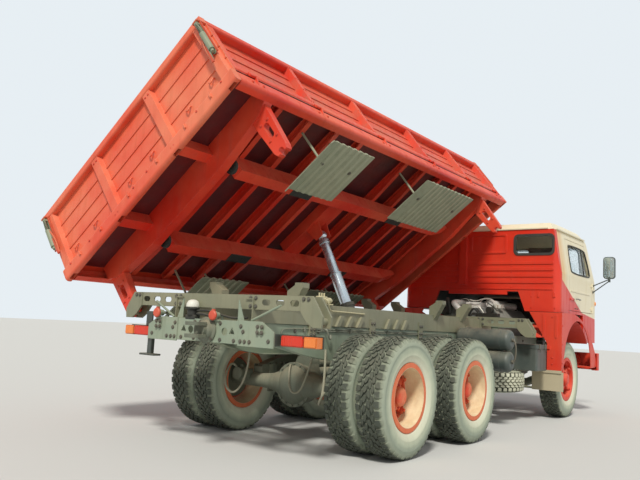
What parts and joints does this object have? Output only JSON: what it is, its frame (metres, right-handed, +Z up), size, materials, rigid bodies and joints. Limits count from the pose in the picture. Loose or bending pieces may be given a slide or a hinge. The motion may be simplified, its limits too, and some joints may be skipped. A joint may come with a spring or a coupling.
{
  "type": "dump truck",
  "caption": "Tipper lorry with its load bed tipped sideways on a telescopic cylinder, hinged side boards, a tilting cab, steered front wheels and paired rear wheels.",
  "frame": {"origin": "middle of the whole outline on the ground, bed tipped as in the picture", "axes": "+X forward to the cab, +Y to the lorry's left, +Z up"},
  "size_m": [7.4836, 3.4687, 3.5124],
  "materials": {
    "red_paint": "glossy enamel",
    "chassis_paint": "satin enamel",
    "dark_steel": "satin enamel",
    "cast_grey": "painted casting",
    "lamp_glass": "ribbed lens",
    "engine_grey": "as cast",
    "alloy": "as cast",
    "black_paint": "satin",
    "tyre": "dusty rubber",
    "rim_paint": "semi-gloss enamel",
    "white_paint": "glossy enamel",
    "window_glass": "clear",
    "seat_fabric": "woven and vinyl",
    "chromed_steel": "polished, oily"
  },
  "bodies": {
    "chassis": {"frame_rail_left": "chassis_paint", "frame_rail_right": "chassis_paint", "cross_members": "chassis_paint", "tow_hitch": "cast_grey", "subframe": "chassis_paint", "lamps": "lamp_glass", "front_axle": "dark_steel", "suspension": "dark_steel", "tandem_axles": "cast_grey", "driveline": "dark_steel", "engine_block": "engine_grey", "engine_dress": "alloy", "fuel_tank": "chassis_paint", "air_tanks": "chassis_paint", "battery_box": "black_paint", "spare_tyre": "tyre", "spare_rim": "rim_paint", "bumper": "red_paint", "front_mudguards": "red_paint"},
    "cab": {"cab_shell": "red_paint", "cab_roof": "white_paint", "cab_floor": "black_paint", "cab_glass": "window_glass", "cab_interior": "seat_fabric", "mirrors": "black_paint"},
    "door_left": {"door_left": "white_paint", "door_glass_left": "window_glass"},
    "door_right": {"door_right": "white_paint", "door_glass_right": "window_glass"},
    "bed": {"bed_floor": "red_paint", "bed_frame": "red_paint", "bed_front_wall": "red_paint", "bed_rear_wall": "red_paint", "bed_latches": "chassis_paint", "bed_mudguards": "chassis_paint"},
    "board_left": {"side_board_left": "red_paint"},
    "board_right": {"side_board_right": "red_paint"},
    "cylinder_tube": {"cylinder_tube": "chassis_paint"},
    "cylinder_lower": {"cylinder_stage_lower": "chromed_steel"},
    "cylinder_upper": {"cylinder_stage_upper": "chromed_steel"},
    "knuckle_left": {"knuckle_left": "cast_grey"},
    "knuckle_right": {"knuckle_right": "cast_grey"},
    "tie_rod": {"tie_rod": "dark_steel"},
    "wheel_front_left": {"tyre_front_left": "tyre", "rim_front_left": "rim_paint"},
    "wheel_front_right": {"tyre_front_right": "tyre", "rim_front_right": "rim_paint"},
    "wheel_mid_left": {"tyres_mid_left": "tyre", "rims_mid_left": "rim_paint"},
    "wheel_mid_right": {"tyres_mid_right": "tyre", "rims_mid_right": "rim_paint"},
    "wheel_rear_left": {"tyres_rear_left": "tyre", "rims_rear_left": "rim_paint"},
    "wheel_rear_right": {"tyres_rear_right": "tyre", "rims_rear_right": "rim_paint"}
  },
  "joints": [
    {"name": "cab_tilt", "type": "hinge", "parent": "chassis", "child": "cab", "pos_m": [3.5915, -0.249, 0.95], "axis": [0, 1, 0], "range_deg": [0, 45]},
    {"name": "door_left_swing", "type": "hinge", "parent": "cab", "child": "door_left", "pos_m": [3.4345, 0.919, 1.7], "axis": [0, 0, -1], "range_deg": [0, 70]},
    {"name": "door_right_swing", "type": "hinge", "parent": "cab", "child": "door_right", "pos_m": [3.4345, -1.417, 1.7], "axis": [0, 0, 1], "range_deg": [0, 70]},
    {"name": "bed_tip", "type": "hinge", "parent": "chassis", "child": "bed", "pos_m": [-1.1285, 0.811, 1.1], "axis": [1, 0, 0], "range_deg": [-11.5, 38.5]},
    {"name": "board_left_drop", "type": "hinge", "parent": "bed", "child": "board_left", "pos_m": [-0.9485, 1.3426, 1.44382], "axis": [-1, 0, 0], "range_deg": [0, 150]},
    {"name": "board_right_drop", "type": "hinge", "parent": "bed", "child": "board_right", "pos_m": [-0.9485, -0.63271, 3.01504], "axis": [1, 0, 0], "range_deg": [0, 150]},
    {"name": "cylinder_swing", "type": "hinge", "parent": "chassis", "child": "cylinder_tube", "pos_m": [-1.2585, -0.249, 1.12], "axis": [1, 0, 0], "range_deg": [-8.28, 26.77]},
    {"name": "cylinder_lower_slide", "type": "slide", "parent": "cylinder_tube", "child": "cylinder_lower", "axis": [0, 0.4442, 0.8959], "range_m": [-0.3457, 0.1047]},
    {"name": "cylinder_upper_slide", "type": "slide", "parent": "cylinder_lower", "child": "cylinder_upper", "axis": [0, 0.4442, 0.8959], "range_m": [-0.3457, 0.1047]},
    {"name": "steer_left", "type": "hinge", "parent": "chassis", "child": "knuckle_left", "pos_m": [2.3815, 0.611, 0.509], "axis": [0, 0, 1], "range_deg": [-35, 35]},
    {"name": "steer_right", "type": "hinge", "parent": "chassis", "child": "knuckle_right", "pos_m": [2.3815, -1.109, 0.509], "axis": [0, 0, 1], "range_deg": [-36, 36]},
    {"name": "tie_rod_slide", "type": "slide", "parent": "chassis", "child": "tie_rod", "axis": [0, 1, 0], "range_m": [-0.118, 0.118]},
    {"name": "front_left_roll", "type": "hinge", "parent": "knuckle_left", "child": "wheel_front_left", "pos_m": [2.3815, 0.764, 0.509], "axis": [0, 1, 0], "continuous": true},
    {"name": "front_right_roll", "type": "hinge", "parent": "knuckle_right", "child": "wheel_front_right", "pos_m": [2.3815, -1.262, 0.509], "axis": [0, 1, 0], "continuous": true},
    {"name": "mid_left_roll", "type": "hinge", "parent": "chassis", "child": "wheel_mid_left", "pos_m": [-0.8085, 0.679, 0.509], "axis": [0, 1, 0], "continuous": true},
    {"name": "mid_right_roll", "type": "hinge", "parent": "chassis", "child": "wheel_mid_right", "pos_m": [-0.8085, -1.177, 0.509], "axis": [0, 1, 0], "continuous": true},
    {"name": "rear_left_roll", "type": "hinge", "parent": "chassis", "child": "wheel_rear_left", "pos_m": [-2.1285, 0.679, 0.509], "axis": [0, 1, 0], "continuous": true},
    {"name": "rear_right_roll", "type": "hinge", "parent": "chassis", "child": "wheel_rear_right", "pos_m": [-2.1285, -1.177, 0.509], "axis": [0, 1, 0], "continuous": true}
  ],
  "couplings": [
    {"joint": "cylinder_swing", "follows": "bed_tip", "ratio": 0.68493},
    {"joint": "cylinder_lower_slide", "follows": "bed_tip", "m_per_rad": -0.51148},
    {"joint": "cylinder_upper_slide", "follows": "bed_tip", "m_per_rad": -0.51148},
    {"joint": "steer_right", "follows": "steer_left", "ratio": 1},
    {"joint": "tie_rod_slide", "follows": "steer_left", "m_per_rad": -0.188}
  ]
}
